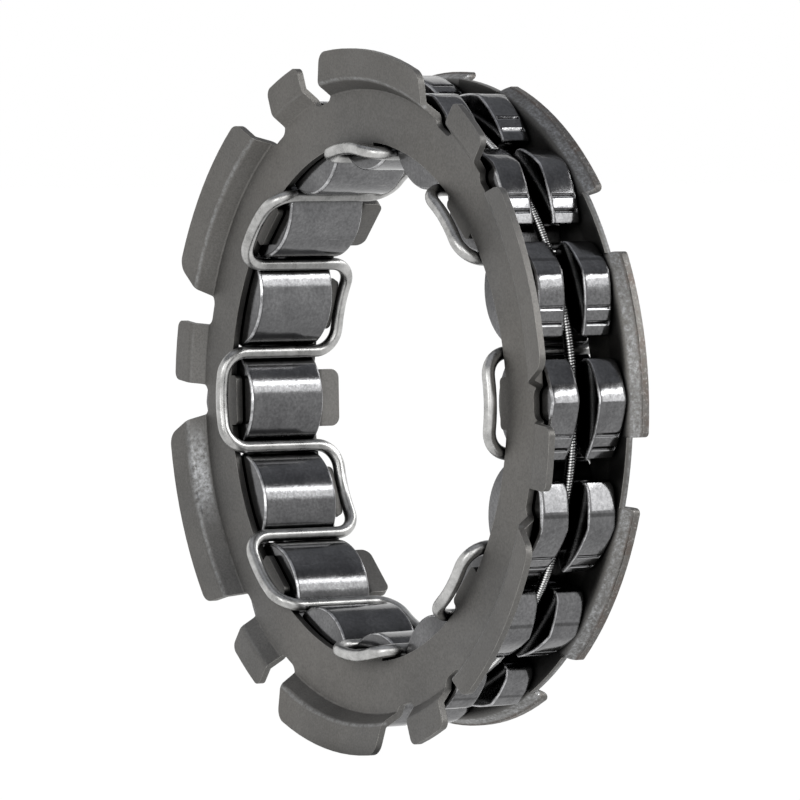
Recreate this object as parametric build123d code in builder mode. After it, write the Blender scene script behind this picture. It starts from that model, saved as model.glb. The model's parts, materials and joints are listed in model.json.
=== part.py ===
"""Sprag clutch insert: two pressed side plates, sixteen sprags, a zigzag retaining wire and a garter spring.

The clutch axis is Y and the front plate faces -Y.  +Z is up and the origin is the middle of the clutch.
Heights along the axis are written towards the front, so a height h lies at Y = -h.
"""

from math import atan2, cos, degrees, hypot, radians, sin
import os

from build123d import *

os.makedirs("parts", exist_ok=True)

# ---- races that the clutch runs between
inner_race_radius = 22.83
race_space = 8.33
outer_race_radius = inner_race_radius + race_space

# ---- counts and angles, in degrees from +X towards +Z
loop_count = 8
sprag_count = 2 * loop_count
cell = 360 / sprag_count
cell_phase = 1.9
flange_count = 6
flange_phase = 23.2
tab_phase = flange_phase + 180 / flange_count
rear_flange_phase = 12.0

# ---- named clearances
race_clearance = 0.06
wire_race_clearance = 0.25
wire_web_clearance = 0.22
sprag_side_clearance = 0.15
spring_floor_clearance = 0.25

# ---- retaining wire
wire_diameter = 1.20
wire_overhang = 0.78
wire_corner = 2.30
wire_track_radius = inner_race_radius + wire_race_clearance + wire_diameter / 2

# ---- sheet and webs
sheet = 0.65
sprag_length = 8.20
web_gap = sprag_length + 2 * sprag_side_clearance
web_face = web_gap / 2 + sheet
web_middle = web_gap / 2 + sheet / 2
bore_radius = wire_track_radius + wire_diameter / 2 + wire_web_clearance
web_width = 5.10
fold_radius = bore_radius + web_width
joggle_run = 1.00
joggle_depth = 1.65
press_radius = 0.50
bend_radius = fold_radius + joggle_run

# ---- front plate rim: wide joggled flanges and narrow tabs with notches between
flange_width = 2.65
flange_lean = 0.32
front_tip_radius = bend_radius + flange_width
flange_tip_half_angle = 15.3
flange_root_half_angle = 19.0
flange_corner = 1.5
tab_width = 5.9
tab_depth = 1.20
tab_corner = 0.8
notch_relief = 0.70
notch_radius = fold_radius - notch_relief
notch_corner = 0.95

# ---- rear plate rim: short flanges that pass through the outer race
rear_tip_radius = outer_race_radius - race_clearance
rear_margin = 0.40
rear_depth = 1.35
rear_web_radius = fold_radius + 0.9 * joggle_run
rear_fold_radius = rear_web_radius - rear_margin
rear_bend_radius = rear_tip_radius - 0.45 * sheet
rear_flange_half_angle = 16.3
rear_corner = 0.5

# ---- rear plate's inner tabs, bent along the axis between the wire crossings
inner_tab_width = 5.6
inner_tab_reach = 2.20
inner_tab_corner = 0.9
inner_tab_bend = 0.60
inner_tab_radius = wire_track_radius + 0.50
strip_margin = 0.02
rear_bore_radius = hypot(inner_tab_radius + inner_tab_bend + strip_margin, inner_tab_width / 2)

# ---- rear plate's short lips, bent outwards from the bore under the rear wire loops
lip_wire_clearance = 0.05
lip_width = 5.1
lip_reach = wire_overhang - lip_wire_clearance
lip_corner = 0.45
lip_bend = 0.45

# ---- front plate's flat tongues, which reach into the bore under the front wire loops
tongue_radius = inner_race_radius + 0.57
tongue_width = 4.8
tongue_corner = 0.5

# ---- sprag
foot_reach = 1.03
crest_gap = 0.38
foot_radius = inner_race_radius - foot_reach
crest_radius = outer_race_radius - crest_gap
sprag_height = crest_radius - foot_radius
foot_half_width = 4.35
foot_arc_radius = 1.25 * foot_half_width
crest_round = 0.90
head_upper_width = 4.10
head_lower_width = 5.25
waist_half_width = 2.60
groove_width = 2.05
end_chamfer = 0.18
groove_edge = 0.14
mark_width = 0.30
mark_depth = 0.15
mark_margin = 0.32
mark_places = (0.20, 0.43)

# ---- garter spring
spring_diameter = 1.00
spring_lift = 6.15
spring_radius = foot_radius + spring_lift
groove_fall = 0.90
groove_floor_radius = spring_radius - spring_diameter / 2 - spring_floor_clearance


def polar(radius, angle):
    """Point of the front view at a radius and an angle."""
    return (radius * cos(radians(angle)), radius * sin(radians(angle)))


def at_radius(vertices, radius):
    """The vertices that lie on a circle about the axis."""
    return [v for v in vertices if abs(Vector(v).length - radius) < 0.01]


def turn_from(vertex, phase, count):
    """Angle from a vertex to the nearest of a ring of equally spaced features."""
    step = 360 / count
    turn = (degrees(atan2(vertex.Y, vertex.X)) - phase) % step
    return min(turn, step - turn)


# ==== front side plate ====
# The rim outline: wide flanges with slanted ends, narrow parallel tabs, round-bottomed notches.
root = polar(notch_radius, flange_root_half_angle)
tip = polar(front_tip_radius, flange_tip_half_angle)
slope = (tip[1] - root[1]) / (tip[0] - root[0])
reach = 1.03 * front_tip_radius
reach_half = tip[1] + slope * (reach - tip[0])
heel = 0.8 * notch_radius
heel_half = root[1] + slope * (heel - root[0])

with BuildSketch(Plane.XZ) as front_outline:
    Circle(notch_radius)
    with PolarLocations(0, flange_count, start_angle=flange_phase):
        Polygon(
            (heel, -heel_half),
            (reach, -reach_half),
            (reach, reach_half),
            (heel, heel_half),
            align=None,
        )
    with PolarLocations(0, flange_count, start_angle=tab_phase):
        Polygon(
            (heel, -tab_width / 2),
            (reach, -tab_width / 2),
            (reach, tab_width / 2),
            (heel, tab_width / 2),
            align=None,
        )
    Circle(front_tip_radius, mode=Mode.INTERSECT)
    fillet(at_radius(front_outline.vertices(), notch_radius), radius=notch_corner)
    tips = at_radius(front_outline.vertices(), front_tip_radius)
    eighth = 45 / flange_count
    fillet([v for v in tips if turn_from(v, tab_phase, flange_count) > eighth], radius=flange_corner)
    tips = at_radius(front_outline.vertices(), front_tip_radius)
    fillet([v for v in tips if turn_from(v, tab_phase, flange_count) < eighth], radius=tab_corner)

# The ring sectors that the tabs take; their sides run along the middle of the notches.
notch_middle = (flange_root_half_angle + 180 / flange_count) / 2 - 1
side_low = polar(notch_radius - 0.4, 180 / flange_count - notch_middle)
side_high = polar(reach + 2, 180 / flange_count - notch_middle)
with BuildSketch(Plane.XZ) as tab_sectors:
    with PolarLocations(0, flange_count, start_angle=tab_phase):
        Polygon(
            (side_low[0], -side_low[1]),
            (side_high[0], -side_high[1]),
            (side_high[0], side_high[1]),
            (side_low[0], side_low[1]),
            align=None,
        )

with BuildPart() as front_tabs:
    with BuildSketch(Plane.XY) as tab_section:
        with BuildLine():
            FilletPolyline(
                (bore_radius, -web_middle),
                (fold_radius, -web_middle),
                (bend_radius + joggle_run / 4, -web_middle - tab_depth),
                (reach, -web_middle - tab_depth),
                radius=press_radius,
            )
        trace(line_width=sheet)
    revolve(axis=Axis.Y)
    extrude(front_outline.sketch, amount=20, both=True, mode=Mode.INTERSECT)
    extrude(tab_sectors.sketch, amount=20, both=True, mode=Mode.INTERSECT)

# The flat tongues that reach inwards from the bore.
tongue_root = bore_radius + sheet
with BuildPart() as front_tongues:
    with BuildSketch(Plane.XZ.offset(web_gap / 2)) as tongue_outline:
        with PolarLocations(0, loop_count, start_angle=cell_phase):
            Polygon(
                (tongue_radius, -tongue_width / 2),
                (tongue_root, -tongue_width / 2),
                (tongue_root, tongue_width / 2),
                (tongue_radius, tongue_width / 2),
                align=None,
            )
        tongue_tips = at_radius(tongue_outline.vertices(), hypot(tongue_radius, tongue_width / 2))
        fillet(tongue_tips, radius=tongue_corner)
    extrude(amount=sheet)

with BuildPart() as front_side_plate:
    with BuildSketch(Plane.XY) as flange_section:
        with BuildLine():
            FilletPolyline(
                (bore_radius, -web_middle),
                (fold_radius, -web_middle),
                (bend_radius, -web_middle - joggle_depth),
                (reach, -web_middle - joggle_depth - flange_lean * (reach - bend_radius) / flange_width),
                radius=press_radius,
            )
        trace(line_width=sheet)
    revolve(axis=Axis.Y)
    extrude(front_outline.sketch, amount=20, both=True, mode=Mode.INTERSECT)
    extrude(tab_sectors.sketch, amount=20, both=True, mode=Mode.SUBTRACT)
    add(front_tabs.part)
    add(front_tongues.part)

front_side_plate.part.label = "front_side_plate"
export_step(front_side_plate.part, "parts/front_side_plate.step")


# ==== rear side plate ====
rear_half = rear_flange_half_angle
rear_heel = polar(0.9 * fold_radius, rear_half)
rear_side = polar(reach, rear_half)
with BuildSketch(Plane.XZ) as rear_outline:
    Circle(rear_web_radius)
    with PolarLocations(0, loop_count, start_angle=rear_flange_phase):
        Polygon(
            (rear_heel[0], -rear_heel[1]),
            (rear_side[0], -rear_side[1]),
            (rear_side[0], rear_side[1]),
            (rear_heel[0], rear_heel[1]),
            align=None,
        )
    Circle(rear_tip_radius, mode=Mode.INTERSECT)
    fillet(at_radius(rear_outline.vertices(), rear_tip_radius), radius=rear_corner)

# The flat stretches of the rim between the rear flanges.
gap_half = 180 / loop_count - rear_half + 0.01
gap_low = polar(notch_radius, gap_half)
gap_high = polar(reach + 2, gap_half)
with BuildSketch(Plane.XZ) as rear_gaps:
    with PolarLocations(0, loop_count, start_angle=rear_flange_phase + 180 / loop_count):
        Polygon(
            (gap_low[0], -gap_low[1]),
            (gap_high[0], -gap_high[1]),
            (gap_high[0], gap_high[1]),
            (gap_low[0], gap_low[1]),
            align=None,
        )

with BuildPart() as rear_rim_flats:
    with BuildSketch(Plane.XZ.offset(-web_face)):
        Circle(rear_web_radius)
        Circle(rear_bore_radius, mode=Mode.SUBTRACT)
    extrude(amount=sheet)
    extrude(rear_gaps.sketch, amount=20, both=True, mode=Mode.INTERSECT)

def bent_strip(root_radius, strip_radius, bend, strip_reach, strip_width, corner):
    """An L-shaped strip at angle zero: out of the web and along the axis, with rounded end corners."""
    with BuildPart() as strip:
        with BuildSketch(Plane.XY):
            with BuildLine():
                FilletPolyline(
                    (root_radius, web_middle),
                    (strip_radius, web_middle),
                    (strip_radius, web_face + strip_reach),
                    radius=bend,
                )
            trace(line_width=sheet)
        extrude(amount=strip_width / 2, both=True)
        ends = strip.edges().filter_by(Axis.X).group_by(Axis.Y)[-1]
        fillet(ends, radius=corner)
    return strip.part


# The strips round the rear bore: long tabs under the front loops, short lips under the rear ones.
strip_root = rear_bore_radius + sheet
tab_strip = bent_strip(strip_root, inner_tab_radius, inner_tab_bend, inner_tab_reach, inner_tab_width, inner_tab_corner)
lip_strip = bent_strip(strip_root, inner_tab_radius, lip_bend, lip_reach, lip_width, lip_corner)
with BuildPart() as bore_strips:
    for k in range(loop_count):
        add(tab_strip.rotate(Axis.Y, -cell_phase - 2 * k * cell))
        add(lip_strip.rotate(Axis.Y, -cell_phase - (2 * k + 1) * cell))

with BuildPart() as rear_side_plate:
    with BuildSketch(Plane.XY) as rear_section:
        with BuildLine():
            FilletPolyline(
                (rear_bore_radius, web_middle),
                (rear_fold_radius, web_middle),
                (rear_bend_radius, web_middle + rear_depth),
                (reach, web_middle + rear_depth),
                radius=press_radius,
            )
        trace(line_width=sheet)
    revolve(axis=Axis.Y)
    extrude(rear_outline.sketch, amount=20, both=True, mode=Mode.INTERSECT)
    extrude(rear_gaps.sketch, amount=20, both=True, mode=Mode.SUBTRACT)
    add(rear_rim_flats.part)
    add(bore_strips.part)

rear_side_plate.part.label = "rear_side_plate"
export_step(rear_side_plate.part, "parts/rear_side_plate.step")


# ==== retaining wire ====
# One front loop, from the middle of one crossing run to the middle of the next, all in arcs and lines.
half_cell = cell / 2
loop_height = web_face + wire_overhang + wire_diameter / 2
cross_x, cross_z = polar(wire_track_radius, half_cell)
inward = Vector(sin(radians(half_cell)), 0, cos(radians(half_cell)))
start = Vector(cross_x, 0, -cross_z)
rise_end = start + Vector(0, -(loop_height - wire_corner), 0)
corner_middle = rise_end + inward * wire_corner * (1 - cos(radians(45)))
corner_middle = corner_middle + Vector(0, -wire_corner * sin(radians(45)), 0)
run_start = rise_end + inward * wire_corner + Vector(0, -wire_corner, 0)
run_bow = -run_start.Z * (1 - cos(radians(half_cell))) / sin(radians(half_cell))
run_middle = Vector(run_start.X + run_bow, run_start.Y, 0)


def mirror_z(point):
    """The same point on the other side of the loop."""
    return Vector(point.X, point.Y, -point.Z)


with BuildPart() as wire_loop:
    with BuildLine() as loop_path:
        Line(start, rise_end)
        ThreePointArc(rise_end, corner_middle, run_start)
        ThreePointArc(run_start, run_middle, mirror_z(run_start))
        ThreePointArc(mirror_z(run_start), mirror_z(corner_middle), mirror_z(rise_end))
        Line(mirror_z(rise_end), mirror_z(start))
    with BuildSketch(Plane(origin=start, x_dir=(1, 0, 0), z_dir=(0, -1, 0))):
        Circle(wire_diameter / 2)
    sweep()

with BuildPart() as retaining_wire:
    for k in range(loop_count):
        add(wire_loop.part.rotate(Axis.Y, -cell_phase - 2 * k * cell))
        add(wire_loop.part.rotate(Axis.X, 180).rotate(Axis.Y, -cell_phase - (2 * k + 1) * cell))

retaining_wire.part.label = "retaining_wire"
export_step(retaining_wire.part, "parts/retaining_wire.step")


# ==== garter spring, as the plain ring that its close coils fill ====
with BuildPart() as garter_spring:
    with BuildSketch(Plane.XY):
        with Locations((spring_radius, 0)):
            Circle(spring_diameter / 2)
    revolve(axis=Axis.Y)

garter_spring.part.label = "garter_spring"
export_step(garter_spring.part, "parts/garter_spring.step")


# ==== sprags ====
# The profile is drawn at angle zero: local x is the radius and local y the way round.
foot_centre = foot_radius + foot_arc_radius
foot_edge = foot_centre - (foot_arc_radius**2 - foot_half_width**2) ** 0.5
waist_radius = foot_radius + 0.50 * sprag_height
lower_lip = (crest_radius - 0.278 * sprag_height, -head_lower_width)
lower_cam = (crest_radius - 0.098 * sprag_height, -0.50 * head_lower_width)
upper_lip = (crest_radius - 0.190 * sprag_height, head_upper_width)
upper_cam = (crest_radius - 0.068 * sprag_height, 0.53 * head_upper_width)
crest = (crest_radius, 0.06 * head_upper_width)

with BuildLine() as cam_line:
    ThreePointArc(lower_lip, lower_cam, crest)

with BuildPart() as blank_sprag:
    with BuildSketch(Plane.XZ.offset(-sprag_length / 2)) as sprag_profile:
        with BuildLine():
            ThreePointArc(lower_lip, lower_cam, crest)
            ThreePointArc(crest, upper_cam, upper_lip)
            Polyline(
                upper_lip,
                (upper_lip[0] - 0.11 * sprag_height, 0.96 * head_upper_width),
                (waist_radius, waist_half_width),
                (foot_edge + 0.09 * sprag_height, foot_half_width),
                (foot_edge, foot_half_width),
            )
            ThreePointArc(
                (foot_edge, foot_half_width),
                (foot_radius, 0),
                (foot_edge, -foot_half_width),
            )
            Polyline(
                (foot_edge, -foot_half_width),
                (foot_edge + 0.09 * sprag_height, -foot_half_width),
                (waist_radius, -waist_half_width),
                (lower_lip[0] - 0.05 * sprag_height, -0.95 * head_lower_width),
                lower_lip,
            )
        make_face()
        corners = sprag_profile.vertices()
        fillet(corners.sort_by_distance(upper_lip)[0], radius=0.15 * sprag_height)
        corners = sprag_profile.vertices()
        fillet(corners.sort_by_distance(lower_lip)[0], radius=0.04 * sprag_height)
        corners = sprag_profile.vertices()
        fillet(corners.sort_by_distance(crest)[0], radius=crest_round)
        waists = [v for v in sprag_profile.vertices() if abs(v.X - waist_radius) < 0.01]
        fillet(waists, radius=0.12 * sprag_height)
        heels = [v for v in sprag_profile.vertices() if abs(abs(v.Y) - foot_half_width) < 0.01]
        fillet(heels, radius=0.035 * sprag_height)
    extrude(amount=sprag_length)
    rims = blank_sprag.faces().filter_by(Axis.Y)
    chamfer(rims.edges(), length=end_chamfer)
    # The middle groove that the garter spring runs in.
    with BuildSketch(Plane.XZ.offset(-groove_width / 2)) as groove_profile:
        with BuildLine():
            groove_floor = ThreePointArc(
                (groove_floor_radius - groove_fall, -1.1 * head_lower_width),
                (groove_floor_radius, 0),
                (groove_floor_radius - groove_fall, 1.1 * head_lower_width),
            )
            Polyline(
                groove_floor @ 1,
                (1.03 * crest_radius, 1.1 * head_lower_width),
                (1.03 * crest_radius, -1.1 * head_lower_width),
                groove_floor @ 0,
            )
        make_face()
    extrude(amount=groove_width, mode=Mode.SUBTRACT)
    walls = blank_sprag.faces().filter_by(Axis.Y)
    walls = [f for f in walls if abs(abs(f.center().Y) - groove_width / 2) < 0.01]
    cam_edges = [e for f in walls for e in f.edges() if (e @ 0.5).X > upper_lip[0] and e.length > 0.2]
    chamfer(cam_edges, length=groove_edge)
    # Two fine marks across each lobe, near its low lip.
    lobe_start = groove_width / 2 + mark_margin
    lobe_length = (sprag_length - groove_width) / 2 - 2 * mark_margin
    for h in (lobe_start, -lobe_start - lobe_length):
        with BuildSketch(Plane.XZ.offset(h)):
            for place in mark_places:
                with Locations(cam_line.edge() @ place):
                    slope_angle = degrees(atan2((cam_line.edge() % place).Y, (cam_line.edge() % place).X))
                    Rectangle(mark_width, 2 * mark_depth, rotation=slope_angle)
        extrude(amount=lobe_length, mode=Mode.SUBTRACT)

for k in range(sprag_count):
    with BuildPart() as sprag:
        add(blank_sprag.part.rotate(Axis.Y, -cell_phase - k * cell))
    sprag.part.label = f"sprag_{k + 1:02d}"
    export_step(sprag.part, f"parts/sprag_{k + 1:02d}.step")
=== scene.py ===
"""Looks of the sprag clutch insert: dark pressed plates, polished sprags, satin wire and fine coil.

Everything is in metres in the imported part's frame: the clutch axis is Y, the front plate faces -Y
and +Z is up. The places in the tables below are in millimetres and degrees. Radius is the distance
from the clutch axis, height the place along it, and across and along are the directions of a sprag.
A band is the middle of a stretch, half its width, and the width over which its mask fades. A rise
is where a mask starts and where it is full.
"""

import json
from math import atan2, cos, pi, radians, sin

import bmesh
import bpy
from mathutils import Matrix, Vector


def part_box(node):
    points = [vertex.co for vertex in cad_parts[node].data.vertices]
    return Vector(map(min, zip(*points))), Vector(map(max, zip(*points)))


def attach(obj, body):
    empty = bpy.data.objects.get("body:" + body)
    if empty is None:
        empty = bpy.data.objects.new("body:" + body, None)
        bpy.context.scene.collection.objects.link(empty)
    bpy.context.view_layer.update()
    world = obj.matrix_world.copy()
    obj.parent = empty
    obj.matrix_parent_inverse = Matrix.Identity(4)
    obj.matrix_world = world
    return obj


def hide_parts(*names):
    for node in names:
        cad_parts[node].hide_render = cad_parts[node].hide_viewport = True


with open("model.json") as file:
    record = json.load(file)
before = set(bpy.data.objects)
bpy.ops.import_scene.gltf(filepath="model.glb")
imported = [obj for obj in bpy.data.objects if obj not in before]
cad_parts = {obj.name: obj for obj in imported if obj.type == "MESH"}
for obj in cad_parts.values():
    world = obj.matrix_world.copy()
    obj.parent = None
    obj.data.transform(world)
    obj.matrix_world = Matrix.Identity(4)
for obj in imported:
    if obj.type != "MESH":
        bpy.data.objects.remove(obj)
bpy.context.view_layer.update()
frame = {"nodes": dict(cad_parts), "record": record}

MM = 0.001
DEGREE = radians(1)
SHEET = 0.65 * MM

# ---- garter coil
COIL_DIAMETER = 1.06 * MM
COIL_WIRE_RADIUS = 0.12 * MM
COIL_PITCH = 0.26 * MM
COIL_STEPS = 10
COIL_SIDES = 6
# Painted highlight lines, in degrees about the coil's own middle line.
COIL_FRONT_HIGHLIGHT = (-34, 8, 12)
COIL_REAR_HIGHLIGHT = (28, 6, 12)

# ---- places on the plates
TIP_RADIUS_RISE, TIP_HEIGHT_RISE = (30.5, 30.9), (5.2, 5.6)
FRONT_BEND, FRONT_BEND_HEIGHT_RISE = (30.45, 0.06, 0.16), (-5.8, -6.1)
REAR_BEND, REAR_BEND_RADIUS_RISE = (5.0, 0.36, 0.16), (30.2, 30.5)
PATCH_ANGLE, PATCH_RADIUS, PATCH_HEIGHT_RISE = (-164, 2.5, 8), (30.0, 0.30, 0.6), (-4.9, -5.2)
# Where painted shade lies on the rear plate beside the sprag heads.
LOBE_SHADE_RADIUS, LOBE_SHADE_HEIGHT_RISE = (29.2, 0.9, 0.45), (3.8, 4.0)

# ---- places on the wire
# Where the wire's loops start, which are painted lighter than its runs.
LOOP_HEIGHT_RISE = (3.6, 5.6)

# ---- places on a sprag
FOOT_EDGE = 4.3
# The feet, which get painted light and shade from one side to the other.
FOOT_RISE = (26.0, 24.5)
CAM_FLOOR = 28.0
# Where a painted dark line crosses each lobe, for the shade where its flat meets the crest.
CREASE, CREASE_RISE = (1.48, 0.10, 0.14), (28.5, 28.7)
# Two marks cross each lobe. Their sides are bands from the middle of a mark.
MARKS = (-4.24, -2.98)
MARK_UPPER, MARK_LOWER = (0.10, 0.08, 0.04), (-0.14, 0.09, 0.04)
MARK_RADIUS_RISE, MARK_HEIGHT = (28.2, 28.4), (2.56, 1.22, 0.06)
MARK_LEAN = 19
# How many degrees the cam's normal leans round the clutch axis, at places across the sprag.
CAM_LEANS = (
    (-5.2, -37), (-2.6, -24), (-0.9, -13), (-0.15, -2), (0.1, 10),
    (0.95, 19), (1.3, 22), (1.65, 24), (1.9, 33), (3.3, 36), (4.1, 41),
)
CAM_SPAN = (-6, 5)
LEAN_LIMIT = 50
# How far it tips along the clutch axis, from a lobe's side at the groove to the one at the end.
LOBE_TIPS = ((0, -0.30), (0.14, -0.08), (0.30, 0), (0.66, 0), (0.84, 0.08), (1, 0.30))
LOBE_RISE = (1.03, 4.1)
# A face belongs to the cam if its normal is this close to the cam's, as a cosine, and this far
# from facing along the clutch axis. The least flatness only keeps a division from failing.
CAM_MATCH = 0.80
CAM_FLATNESS = 0.2
LEAST_FLATNESS = 0.01

# ---- edges
EDGE_RADIUS = 0.10
CREST_RADIUS = 0.30
# An edge starts and is full where the rounded normal leaves the true one by these cosines.
EDGE_COSINES = (0.98, 0.80)
BEVEL_SAMPLES = 6
AIR_SAMPLES = 8
# The slant of a chamfer's normal: the sine of 45 degrees.
CHAMFER = (0.707, 0.16, 0.08)

# ---- colours
PLATE_TONES = ((0.134, 0.131, 0.126), (0.182, 0.179, 0.174))
PATINA = (0.135, 0.100, 0.084)
BARE_FLECKS = (0.32, 0.31, 0.30)
# Rubbed bends, with a painted highlight on them.
RUBBED_BENDS_AND_HIGHLIGHT = (0.46, 0.47, 0.48)
WORN_EDGES = (0.42, 0.41, 0.39)
# Painted shade for the plates' corners and crevices.
PLATE_CREVICE_SHADE = (0.010, 0.010, 0.010)
# Painted shade, beside the sprag heads and along the lobes' creases.
SHADE_PAINT = (0.02, 0.02, 0.02)
SPRAG_TONES = ((0.118, 0.118, 0.121), (0.180, 0.180, 0.183))
SCRATCHES = (0.42, 0.42, 0.42)
# Painted shade and painted highlight for the two sides of each mark.
MARK_SHADE_PAINT, MARK_HIGHLIGHT_PAINT = (0.012, 0.012, 0.012), (0.60, 0.60, 0.61)
# A painted highlight on the sprags' chamfers and edges.
RIM_HIGHLIGHT_PAINT = (0.56, 0.56, 0.57)
# Painted shade in the sprags' crevices.
SPRAG_CREVICE_SHADE = (0.006, 0.006, 0.007)
WIRE_TONES = ((0.21, 0.209, 0.205), (0.42, 0.418, 0.41))
# Painted shade in the wire's crevices.
WIRE_CREVICE_SHADE = (0.008, 0.008, 0.008)
COIL_TONES = ((0.16, 0.16, 0.16), (0.24, 0.24, 0.238))
# Painted highlight lines on the coil.
COIL_HIGHLIGHT_PAINT = (0.80, 0.80, 0.79)
# Painted shade in the coil's crevices.
COIL_CREVICE_SHADE = (0.01, 0.01, 0.01)
WHITE = (1, 1, 1, 1)
PAINT = (0.8, 0.8, 0.8, 1)
CEILING_TONES = ((0.0, (0.22, 0.22, 0.23)), (0.45, (0.30, 0.31, 0.33)), (1.0, (0.48, 0.49, 0.52)))

# ---- camera
CAMERA_AZIMUTH = 58.01
CAMERA_ELEVATION = 2.70
CAMERA_DISTANCE = 0.5678
CAMERA_LENS = 271.1
CAMERA_SENSOR = 36
CAMERA_SHIFT = (0.0452, 0.0022)

# ---- studio
FLOOR_REACH = 4.0
FLOOR_GAP = 0.2 * MM
FLOOR_GLOW = 1.03
FLOOR_GLOW_SHARE = 0.97
WORLD_LIGHT = 0.8
WORLD_SEEN = 1.0
CEILING_DISTANCE = 1.6
CEILING_ELEVATIONS = (36, 89)
CEILING_TONE_HEIGHTS = (0.94, 1.5)
CEILING_ROWS = 8
CEILING_SIDES = 48
LAMP_DISTANCE = 1.0
# Name, azimuth, elevation, width and height in metres, and brightness of the face.
LAMPS = (
    ("key_edge", 128, 30, 0.60, 0.11, 11.0),
    ("key_body", 128, 20, 0.60, 0.20, 3.0),
    ("rear_edge", 174, 31, 0.25, 0.26, 6.0),
    ("front_left", 30, 13, 0.30, 0.50, 3.0),
    ("front", 64, 13, 0.25, 0.50, 2.0),
)

front_low, front_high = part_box("front_side_plate")
spring_low, spring_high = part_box("garter_spring")
web_face = front_high.y - SHEET
spring_radius = (spring_high.x - spring_low.x) / 2 - COIL_DIAMETER / 2
joints = frame["record"]["behaviour"]["joints"]
first_hinge = Vector(joints[0]["pos_m"])
sprag_phase = atan2(first_hinge.z, first_hinge.x)
sprag_step = 2 * pi / len(joints)


def new_piece(name, data):
    """An object of its own in the scene."""
    piece = bpy.data.objects.new(name, data)
    bpy.context.scene.collection.objects.link(piece)
    return piece


def aim(piece, target, azimuth, elevation, distance):
    """Sets a camera or lamp at a distance from a target and turns it to look back at that."""
    a, e = radians(azimuth), radians(elevation)
    out = Vector((sin(a) * cos(e), -cos(a) * cos(e), sin(e)))
    piece.location = target + out * distance
    piece.rotation_euler = (-out).to_track_quat("-Z", "Y").to_euler()


# ==== camera ====
camera_data = bpy.data.cameras.new("camera")
camera_data.lens = CAMERA_LENS
camera_data.sensor_width = CAMERA_SENSOR
camera_data.shift_x, camera_data.shift_y = CAMERA_SHIFT
camera_data.clip_start = 0.01
camera_data.clip_end = 20
camera = new_piece("camera", camera_data)
aim(camera, Vector((0, web_face, 0)), CAMERA_AZIMUTH, CAMERA_ELEVATION, CAMERA_DISTANCE)
bpy.context.scene.camera = camera
bpy.context.scene.view_settings.view_transform = "Standard"


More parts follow.
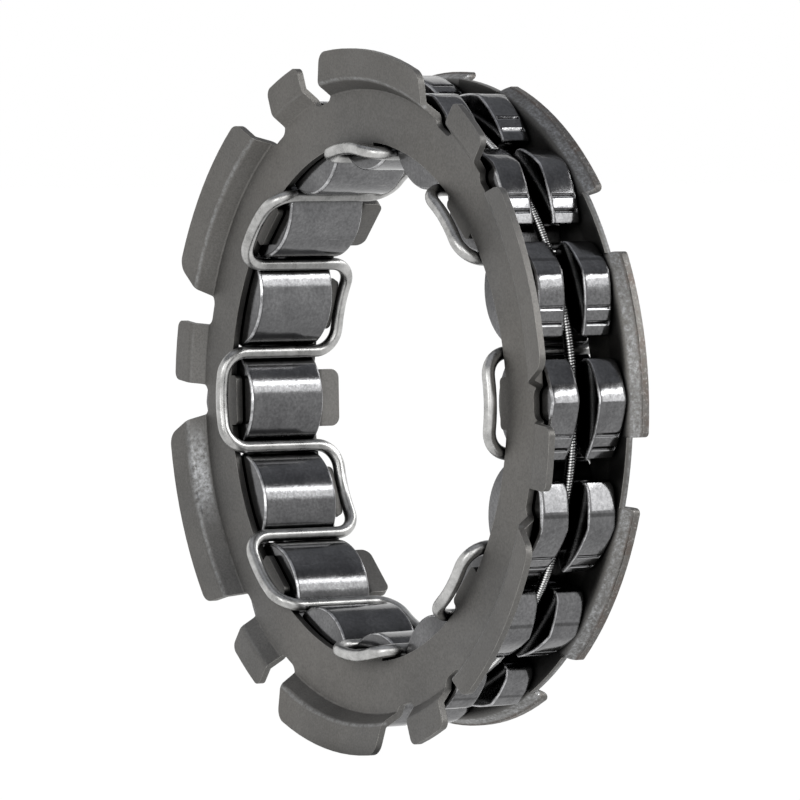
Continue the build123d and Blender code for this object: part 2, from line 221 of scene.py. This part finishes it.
# ==== materials ====
class Nodes:
    """A small helper for writing node trees in a few lines."""

    def __init__(self, tree):
        self.tree = tree
        tree.nodes.clear()

    def add(self, kind, inputs=None, **settings):
        """A node with its settings, and with its inputs linked to sockets or set to values."""
        node = self.tree.nodes.new(kind)
        for key, value in settings.items():
            setattr(node, key, value)
        for key, value in (inputs or {}).items():
            socket = node.inputs[key]
            if isinstance(value, bpy.types.NodeSocket):
                self.tree.links.new(value, socket)
            else:
                socket.default_value = value
        return node

    # ---- numbers
    def math(self, operation, a, b=0.0, c=0.0, clamp=False):
        node = self.add("ShaderNodeMath", {0: a, 1: b, 2: c}, operation=operation)
        node.use_clamp = clamp
        return node.outputs[0]

    def absolute(self, value):
        return self.math("ABSOLUTE", value)

    def maximum(self, a, b):
        return self.math("MAXIMUM", a, b)

    def times(self, *values):
        """The product of numbers; for masks, the mask of where all of them are."""
        result = values[0]
        for value in values[1:]:
            result = self.math("MULTIPLY", result, value)
        return result

    def span(self, value, low, high, start=0.0, end=1.0):
        """The value mapped from low..high to start..end and held at the ends."""
        values = {"Value": value, "From Min": low, "From Max": high, "To Min": start, "To Max": end}
        return self.add("ShaderNodeMapRange", values).outputs["Result"]

    def past(self, value, rise):
        """A mask that goes from 0 at the rise's first place to 1 at its second."""
        start, full = rise
        return self.span(value, start * MM, full * MM)

    def within(self, value, band, unit=MM):
        """A mask that is 1 within a band and fades to both sides of it."""
        middle, half, soft = band
        gap = self.absolute(self.math("SUBTRACT", value, middle * unit))
        return self.span(gap, half * unit + soft * unit, half * unit)

    # ---- colours
    def noise(self, vector, scale, detail, rough):
        """A noise with about so many patches a metre."""
        values = {"Vector": vector, "Scale": scale, "Detail": detail, "Roughness": rough}
        return self.add("ShaderNodeTexNoise", values).outputs["Fac"]

    def ramp(self, fac, stops):
        node = self.add("ShaderNodeValToRGB", {"Fac": fac})
        elements = node.color_ramp.elements
        while len(elements) < len(stops):
            elements.new(0.5)
        for element, (position, colour) in zip(elements, stops):
            element.position = position
            if isinstance(colour, (int, float)):
                colour = (colour, colour, colour)
            element.color = (*colour, 1)
        return node.outputs["Color"]

    def tones(self, cloud, colours, start, end):
        """Two tones of one colour, spread by a noise."""
        return self.ramp(cloud, tuple(zip((start, end), colours)))

    def mix(self, fac, a, b, blend="MIX"):
        node = self.add("ShaderNodeMix", data_type="RGBA", blend_type=blend)
        for key, value in ((0, fac), (6, a), (7, b)):
            if isinstance(value, bpy.types.NodeSocket):
                self.tree.links.new(value, node.inputs[key])
            elif key and isinstance(value, tuple):
                node.inputs[key].default_value = (*value, 1)
            else:
                node.inputs[key].default_value = value
        return node.outputs[2]

    def tinted(self, colour, fac, *stops):
        """The colour multiplied by a ramp."""
        return self.mix(1.0, colour, self.ramp(fac, stops), "MULTIPLY")

    # ---- places
    def place(self):
        """The place on the part, which stays with a sprag when it rocks."""
        return self.add("ShaderNodeTexCoord").outputs["Object"]

    def axes(self, vector):
        return self.add("ShaderNodeSeparateXYZ", {0: vector}).outputs

    def stretched(self, vector, x, y, z):
        """The vector with its axes scaled, so that a noise on it becomes streaks."""
        node = self.add("ShaderNodeVectorMath", {0: vector}, operation="MULTIPLY")
        node.inputs[1].default_value = (x, y, z)
        return node.outputs[0]

    def flat_length(self, vector):
        """The vector's length seen along the clutch axis."""
        flat = self.stretched(vector, 1, 0, 1)
        return self.add("ShaderNodeVectorMath", {0: flat}, operation="LENGTH").outputs["Value"]

    def polar(self, vector):
        """Distance from the clutch axis, height along it and angle about it."""
        x, y, z = self.axes(vector)
        return self.flat_length(vector), y, self.math("ARCTAN2", z, x)

    # ---- normals
    def true_normal(self):
        return self.add("ShaderNodeNewGeometry").outputs["Normal"]

    def round_normal(self, radius):
        """The normal with the edges rounded over a radius in millimetres."""
        bevel = self.add("ShaderNodeBevel", {"Radius": radius * MM}, samples=BEVEL_SAMPLES)
        return bevel.outputs[0]

    def turned(self, vector, source, goal):
        """A normal taken from one space, such as OBJECT, to another."""
        node = self.add("ShaderNodeVectorTransform", {0: vector}, vector_type="NORMAL")
        node.convert_from = source
        node.convert_to = goal
        return node.outputs[0]

    def bump(self, height, strength, distance, normal=None):
        """The normal roughened by a height, over a distance in millimetres."""
        values = {"Height": height, "Strength": strength, "Distance": distance * MM}
        if normal is not None:
            values["Normal"] = normal
        return self.add("ShaderNodeBump", values).outputs["Normal"]

    def edges(self):
        """A mask that is 1 on edges, where the rounded normal leaves the true one."""
        values = {0: self.round_normal(EDGE_RADIUS), 1: self.true_normal()}
        dot = self.add("ShaderNodeVectorMath", values, operation="DOT_PRODUCT")
        return self.span(dot.outputs["Value"], *EDGE_COSINES)

    def open_air(self, distance, low, high):
        """A mask that is 1 in the open and 0 in crevices, for painting shade into the crevices."""
        values = {"Distance": distance * MM}
        air = self.add("ShaderNodeAmbientOcclusion", values, samples=AIR_SAMPLES).outputs["AO"]
        return self.span(air, low, high)


def new_material(name):
    material = bpy.data.materials.new(name)
    material.use_nodes = True
    return material, Nodes(material.node_tree)


def metal(material, n, colour, roughness, normal):
    """The material, finished as bare metal."""
    values = {"Base Color": colour, "Roughness": roughness, "Normal": normal, "Metallic": 1.0}
    shader = n.add("ShaderNodeBsdfPrincipled", values)
    n.add("ShaderNodeOutputMaterial", {"Surface": shader.outputs[0]})
    return material


def plate_material():
    """Phosphated sheet: warm dark grey with grain, stains, rubbed bends with a painted highlight,
    and painted shade in corners and beside the sprag heads.
    """
    material, n = new_material("plate_steel")
    place = n.place()
    radius, height, angle = n.polar(place)
    grain = n.noise(place, 5200, 2.0, 0.7)
    cloud = n.noise(place, 150, 5.0, 0.6)
    drift = n.noise(n.stretched(place, 1, 0.4, 1), 60, 3.0, 0.5)
    colour = n.tones(cloud, PLATE_TONES, 0.32, 0.68)
    colour = n.tinted(colour, drift, (0.35, 0.92), (0.65, (1.08, 1.06, 1.03)))
    colour = n.tinted(colour, grain, (0.3, 0.84), (0.7, 1.16))
    # Brown patina with bare flecks at the tips of the rear rim.
    tips = n.times(n.past(radius, TIP_RADIUS_RISE), n.past(height, TIP_HEIGHT_RISE))
    stain = n.span(n.noise(place, 520, 4.0, 0.7), 0.44, 0.60)
    colour = n.mix(n.times(tips, stain, 0.6), colour, PATINA)
    bare = n.span(n.noise(place, 3100, 3.0, 0.8), 0.54, 0.66)
    colour = n.mix(n.times(tips, bare), colour, BARE_FLECKS)
    # Burnished bends of both rims, and one front flange that was rubbed bright, all with a painted
    # highlight on them.
    front_bend = n.times(n.within(radius, FRONT_BEND), n.past(height, FRONT_BEND_HEIGHT_RISE))
    rear_bend = n.times(n.within(height, REAR_BEND), n.past(radius, REAR_BEND_RADIUS_RISE))
    fleck = n.span(n.noise(place, 3800, 3.0, 0.8), 0.42, 0.60, 0.35, 1.0)
    blotch = n.span(n.noise(place, 260, 3.0, 0.5), 0.30, 0.55, 0.6, 1.0)
    patch = n.times(
        n.within(angle, PATCH_ANGLE, DEGREE),
        n.within(radius, PATCH_RADIUS),
        n.past(height, PATCH_HEIGHT_RISE),
    )
    shine = n.maximum(n.times(front_bend, 0.5), n.times(rear_bend, fleck, blotch))
    speckle = n.span(n.noise(place, 2400, 3.0, 0.7), 0.32, 0.68)
    shine = n.times(n.maximum(shine, patch), speckle)
    colour = n.mix(n.times(shine, 0.85), colour, RUBBED_BENDS_AND_HIGHLIGHT)
    # Painted shade on the rear plate beside the sprag heads, where the lobes shade it.
    lobe_shade = n.times(n.within(radius, LOBE_SHADE_RADIUS), n.past(height, LOBE_SHADE_HEIGHT_RISE))
    colour = n.mix(n.times(lobe_shade, 0.6), colour, SHADE_PAINT)
    # Worn edges, and painted shade in the corners.
    wear_and_glint = n.span(n.noise(place, 700, 3.0, 0.6), 0.35, 0.6, 0.3, 0.9)
    colour = n.mix(n.times(n.edges(), wear_and_glint), colour, WORN_EDGES)
    colour = n.mix(n.open_air(2.8, 0.22, 0.86), PLATE_CREVICE_SHADE, colour)
    rough = n.span(cloud, 0.3, 0.7, 0.46, 0.58)
    rough = n.math("SUBTRACT", rough, n.times(shine, 0.14))
    normal = n.bump(grain, 0.5, 0.02, n.round_normal(EDGE_RADIUS))
    return metal(material, n, colour, rough, normal)


def sprag_place(n, radius, angle):
    """Place across and along the nearest sprag, and the angle of its middle."""
    cells = n.math("DIVIDE", n.math("SUBTRACT", angle, sprag_phase), sprag_step)
    middle = n.math("MULTIPLY_ADD", n.math("ROUND", cells), sprag_step, sprag_phase)
    local = n.math("SUBTRACT", angle, middle)
    across = n.times(radius, n.math("SINE", local))
    along = n.times(radius, n.math("COSINE", local))
    return across, along, middle


def lobe_marks(n, radius, height, across):
    """Masks of the upper and of the lower sides of the marks across the lobes."""
    on_lobe = n.times(n.past(radius, MARK_RADIUS_RISE), n.within(n.absolute(height), MARK_HEIGHT))
    sides = []
    for offset, half, soft in (MARK_UPPER, MARK_LOWER):
        first, second = [n.within(across, (mark + offset, half, soft)) for mark in MARKS]
        sides.append(n.times(on_lobe, n.maximum(first, second)))
    return sides


def cam_normal(n, place, normal, upper, lower):
    """The normal of a round cam with crowned lobes and leaning marks; other faces keep theirs."""
    radius, height, angle = n.polar(place)
    across, along, middle = sprag_place(n, radius, angle)
    start, end = CAM_SPAN
    leans = [
        ((spot - start) / (end - start), 0.5 + lean / (2 * LEAN_LIMIT)) for spot, lean in CAM_LEANS
    ]
    lean = n.ramp(n.past(across, CAM_SPAN), leans)
    lean = n.span(lean, 0, 1, radians(-LEAN_LIMIT), radians(LEAN_LIMIT))
    mark = n.math("SUBTRACT", lower, upper)
    lean = n.math("MULTIPLY_ADD", mark, radians(MARK_LEAN), lean)
    heading = n.math("ADD", middle, lean)
    heading_x, heading_z = n.math("COSINE", heading), n.math("SINE", heading)
    tips = [(share, 0.5 + tip) for share, tip in LOBE_TIPS]
    tip = n.ramp(n.past(n.absolute(height), LOBE_RISE), tips)
    tip = n.times(n.math("SUBTRACT", tip, 0.5), n.math("SIGN", height))
    own = n.turned(normal, "WORLD", "OBJECT")
    own_x, own_y, own_z = n.axes(own)
    flat = n.flat_length(own)
    match = n.math("MULTIPLY_ADD", own_x, heading_x, n.times(own_z, heading_z))
    match = n.math("DIVIDE", match, n.maximum(flat, LEAST_FLATNESS))
    in_mark = n.math("GREATER_THAN", n.absolute(mark), 0.5)
    on_cam = n.times(
        n.maximum(n.math("GREATER_THAN", match, CAM_MATCH), in_mark),
        n.math("GREATER_THAN", along, CAM_FLOOR * MM),
        n.math("GREATER_THAN", flat, CAM_FLATNESS),
    )
    parts = {0: n.times(flat, heading_x), 1: n.math("ADD", own_y, tip), 2: n.times(flat, heading_z)}
    rounded = n.add("ShaderNodeCombineXYZ", parts).outputs[0]
    rounded = n.add("ShaderNodeVectorMath", {0: rounded}, operation="NORMALIZE").outputs[0]
    rounded = n.turned(rounded, "OBJECT", "WORLD")
    pick = n.add("ShaderNodeMix", {0: on_cam, 4: normal, 5: rounded}, data_type="VECTOR")
    return pick.outputs[1]


def sprag_material():
    """Polished bearing steel: ragged grinding marks, scratches, painted highlights on the rims,
    painted shade in the corners.
    """
    material, n = new_material("sprag_steel")
    place = n.place()
    radius, height, angle = n.polar(place)
    across, along, _ = sprag_place(n, radius, angle)
    cloud = n.noise(place, 300, 4.0, 0.6)
    fine = n.noise(place, 3400, 3.0, 0.7)
    grind = n.noise(n.stretched(place, 0.3, 1, 0.3), 5200, 2.0, 0.6)
    scratch = n.noise(n.stretched(place, 1.0, 0.12, 0.5), 2600, 2.0, 0.5)
    colour = n.tones(cloud, SPRAG_TONES, 0.3, 0.7)
    colour = n.tinted(colour, fine, (0.3, 0.72), (0.7, 1.24))
    colour = n.mix(n.span(scratch, 0.72, 0.78, 0.0, 0.20), colour, SCRATCHES)
    # Painted light and shade across the feet: lighter towards one side and darker towards the
    # other.
    over_foot = n.past(across, (-FOOT_EDGE, FOOT_EDGE))
    painted_foot_shade = n.tinted(colour, over_foot, (0.0, 1.1), (0.35, 1.0), (1.0, 0.62))
    colour = n.mix(n.past(along, FOOT_RISE), colour, painted_foot_shade)
    # A painted dark line, for the shade where the flat of each lobe meets its round crest.
    crease = n.times(n.within(across, CREASE), n.past(along, CREASE_RISE))
    colour = n.mix(n.times(crease, 0.5), colour, SHADE_PAINT)
    # The marks get painted shade on their upper sides and a painted highlight on their lower ones.
    upper, lower = lobe_marks(n, radius, height, across)
    colour = n.mix(n.times(upper, 0.75), colour, MARK_SHADE_PAINT)
    colour = n.mix(n.times(lower, 0.30), colour, MARK_HIGHLIGHT_PAINT)
    # Chamfers and edges get a painted highlight, uneven along them.
    slant = n.axes(n.turned(n.true_normal(), "WORLD", "OBJECT"))[1]
    rim_highlight = n.maximum(n.within(n.absolute(slant), CHAMFER, 1), n.edges())
    wear_and_glint = n.span(n.noise(place, 1100, 4.0, 0.7), 0.36, 0.62, 0.25, 1.0)
    colour = n.mix(n.times(rim_highlight, wear_and_glint), colour, RIM_HIGHLIGHT_PAINT)
    # Painted shade in the corners and crevices.
    colour = n.mix(n.open_air(3.0, 0.16, 0.72), SPRAG_CREVICE_SHADE, colour)
    rough = n.span(cloud, 0.3, 0.7, 0.10, 0.18)
    relief = n.math("ADD", n.times(grind, 0.6), n.times(fine, 0.5))
    smooth = cam_normal(n, place, n.round_normal(CREST_RADIUS), upper, lower)
    return metal(material, n, colour, rough, n.bump(relief, 0.7, 0.014, smooth))


def wire_material():
    """Drawn spring wire: satin grey with bright and dull patches."""
    material, n = new_material("wire_steel")
    place = n.place()
    cloud = n.noise(place, 700, 4.0, 0.65)
    fine = n.noise(place, 4200, 3.0, 0.7)
    colour = n.tones(cloud, WIRE_TONES, 0.3, 0.7)
    colour = n.tinted(colour, fine, (0.3, 0.90), (0.7, 1.10))
    # Painted light and shade: the loops outside the plates are lighter than the runs between the
    # sprags.
    outside = n.past(n.absolute(n.axes(place)[1]), LOOP_HEIGHT_RISE)
    colour = n.tinted(colour, outside, (0.0, 0.80), (1.0, 1.45))
    # Painted shade in the crevices, such as where the wire crosses between the sprags.
    colour = n.mix(n.open_air(3.5, 0.14, 0.66), WIRE_CREVICE_SHADE, colour)
    rough = n.span(cloud, 0.3, 0.7, 0.24, 0.36)
    return metal(material, n, colour, rough, n.bump(fine, 0.4, 0.012))


def coil_material():
    """Fine spring wire: dark, with two painted highlight lines along its turns."""
    material, n = new_material("spring_steel")
    place = n.place()
    cloud = n.noise(place, 500, 3.0, 0.6)
    colour = n.tones(cloud, COIL_TONES, 0.3, 0.7)
    radius, height, _ = n.polar(place)
    about = n.math("ARCTAN2", height, n.math("SUBTRACT", radius, spring_radius))
    front_highlight = n.within(about, COIL_FRONT_HIGHLIGHT, DEGREE)
    rear_highlight = n.within(about, COIL_REAR_HIGHLIGHT, DEGREE)
    # The two painted highlight lines.
    colour = n.mix(n.maximum(front_highlight, rear_highlight), colour, COIL_HIGHLIGHT_PAINT)
    # Painted shade between the turns and in the crevices.
    colour = n.mix(n.open_air(1.6, 0.05, 0.40), COIL_CREVICE_SHADE, colour)
    rough = n.span(cloud, 0.3, 0.7, 0.14, 0.22)
    return metal(material, n, colour, rough, n.bump(cloud, 0.1, 0.01))


looks = {
    "plate_steel": plate_material(),
    "sprag_steel": sprag_material(),
    "wire_steel": wire_material(),
    "spring_steel": coil_material(),
}
for part in frame["record"]["subparts"]:
    node = frame["nodes"][part["node"]]
    look = looks[part["material_slot"]]
    if not node.material_slots:
        node.data.materials.append(look)
    for slot in node.material_slots:
        slot.material = look


# ==== garter spring coil ====
def ring_coil(name, ring_radius, coil_radius, wire_radius, turns, steps, sides):
    """A closed coil of round wire wound about a circle in the XZ plane."""
    count = turns * steps
    points, outs = [], []
    for i in range(count):
        around = 2 * pi * i / count
        turn = 2 * pi * i / steps
        radius = ring_radius + coil_radius * cos(turn)
        height = coil_radius * sin(turn)
        points.append(Vector((radius * cos(around), height, radius * sin(around))))
        outs.append(Vector((cos(turn) * cos(around), sin(turn), cos(turn) * sin(around))))
    mesh = bmesh.new()
    rings = []
    for i, (point, out) in enumerate(zip(points, outs)):
        along = (points[(i + 1) % count] - points[i - 1]).normalized()
        side = along.cross(out).normalized()
        out = side.cross(along)
        ring = []
        for j in range(sides):
            angle = 2 * pi * j / sides
            offset = wire_radius * (cos(angle) * out + sin(angle) * side)
            ring.append(mesh.verts.new(point + offset))
        rings.append(ring)
    for i in range(count):
        a, b = rings[i], rings[(i + 1) % count]
        for j in range(sides):
            k = (j + 1) % sides
            face = mesh.faces.new((a[j], a[k], b[k], b[j]))
            face.smooth = True
    data = bpy.data.meshes.new(name)
    mesh.normal_update()
    mesh.to_mesh(data)
    mesh.free()
    return new_piece(name, data)


coil = ring_coil(
    "garter_coil",
    spring_radius,
    COIL_DIAMETER / 2 - COIL_WIRE_RADIUS,
    COIL_WIRE_RADIUS,
    round(2 * pi * spring_radius / COIL_PITCH),
    COIL_STEPS,
    COIL_SIDES,
)
coil.data.materials.append(looks["spring_steel"])
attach(coil, "cage")
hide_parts("garter_spring")


# ==== floor, world and ceiling ====
def sheet_piece(name, corners, faces):
    """A piece of the studio, made of bare faces."""
    data = bpy.data.meshes.new(name)
    data.from_pydata(corners, [], faces)
    return new_piece(name, data)


def seen_rays(n):
    """A mask that is 1 for rays from the camera, a reflection or glass, and 0 for other light."""
    rays = n.add("ShaderNodeLightPath").outputs
    seen = n.math("ADD", rays["Is Camera Ray"], rays["Is Glossy Ray"], clamp=True)
    return n.math("ADD", seen, rays["Is Transmission Ray"], clamp=True)


def floor_material():
    """White paint that is seen as a plain white background."""
    material, n = new_material("floor")
    paint = n.add("ShaderNodeBsdfDiffuse", {"Color": PAINT}).outputs[0]
    glow = n.add("ShaderNodeEmission", {"Color": WHITE, "Strength": FLOOR_GLOW}).outputs[0]
    share = n.times(seen_rays(n), FLOOR_GLOW_SHARE)
    surface = n.add("ShaderNodeMixShader", {0: share, 1: paint, 2: glow})
    n.add("ShaderNodeOutputMaterial", {"Surface": surface.outputs[0]})
    return material


def studio_world():
    """A white surround, a little brighter where it is seen than where it lights."""
    world = bpy.data.worlds.new("studio")
    world.use_nodes = True
    n = Nodes(world.node_tree)
    values = {"Value": seen_rays(n), "To Min": WORLD_LIGHT, "To Max": WORLD_SEEN}
    strength = n.add("ShaderNodeMapRange", values).outputs[0]
    background = n.add("ShaderNodeBackground", {"Color": WHITE, "Strength": strength})
    n.add("ShaderNodeOutputWorld", {"Surface": background.outputs[0]})
    return world


def ceiling_material():
    """Cloth that is dark at the rim of the ceiling and paler overhead."""
    material, n = new_material("ceiling")
    lift = n.axes(n.add("ShaderNodeNewGeometry").outputs["Position"])[2]
    shade = n.ramp(n.span(lift, *CEILING_TONE_HEIGHTS), CEILING_TONES)
    cloth = n.add("ShaderNodeEmission", {"Color": shade, "Strength": 1.0})
    n.add("ShaderNodeOutputMaterial", {"Surface": cloth.outputs[0]})
    return material


def canopy(name, distance, low, high, rows, around):
    """A dome over the clutch that starts at an elevation and that the camera doesn't see."""
    corners = []
    for i in range(rows + 1):
        e = radians(low + (high - low) * i / rows)
        for j in range(around):
            a = 2 * pi * j / around
            out = (cos(e) * cos(a), cos(e) * sin(a), sin(e))
            corners.append([distance * part for part in out])
    faces = []
    for row in range(0, rows * around, around):
        above = row + around
        for j in range(around):
            k = (j + 1) % around
            faces.append((row + j, row + k, above + k, above + j))
    piece = sheet_piece(name, corners, faces)
    piece.visible_camera = False
    return piece


floor_height = front_low.z - FLOOR_GAP
floor = sheet_piece(
    "floor",
    [
        (-FLOOR_REACH, -FLOOR_REACH, floor_height),
        (FLOOR_REACH, -FLOOR_REACH, floor_height),
        (FLOOR_REACH, FLOOR_REACH, floor_height),
        (-FLOOR_REACH, FLOOR_REACH, floor_height),
    ],
    [(0, 1, 2, 3)],
)
floor.data.materials.append(floor_material())

bpy.context.scene.world = studio_world()

ceiling = canopy("ceiling", CEILING_DISTANCE, *CEILING_ELEVATIONS, CEILING_ROWS, CEILING_SIDES)
ceiling.data.materials.append(ceiling_material())


# ==== lamps ====
def softbox(name, azimuth, elevation, width, height, radiance):
    """A rectangular lamp that looks at the clutch, given the brightness of its face."""
    data = bpy.data.lights.new(name, "AREA")
    data.shape = "RECTANGLE"
    data.size = width
    data.size_y = height
    data.energy = radiance * width * height * pi
    aim(new_piece(name, data), Vector(), azimuth, elevation, LAMP_DISTANCE)


for lamp in LAMPS:
    softbox(*lamp)
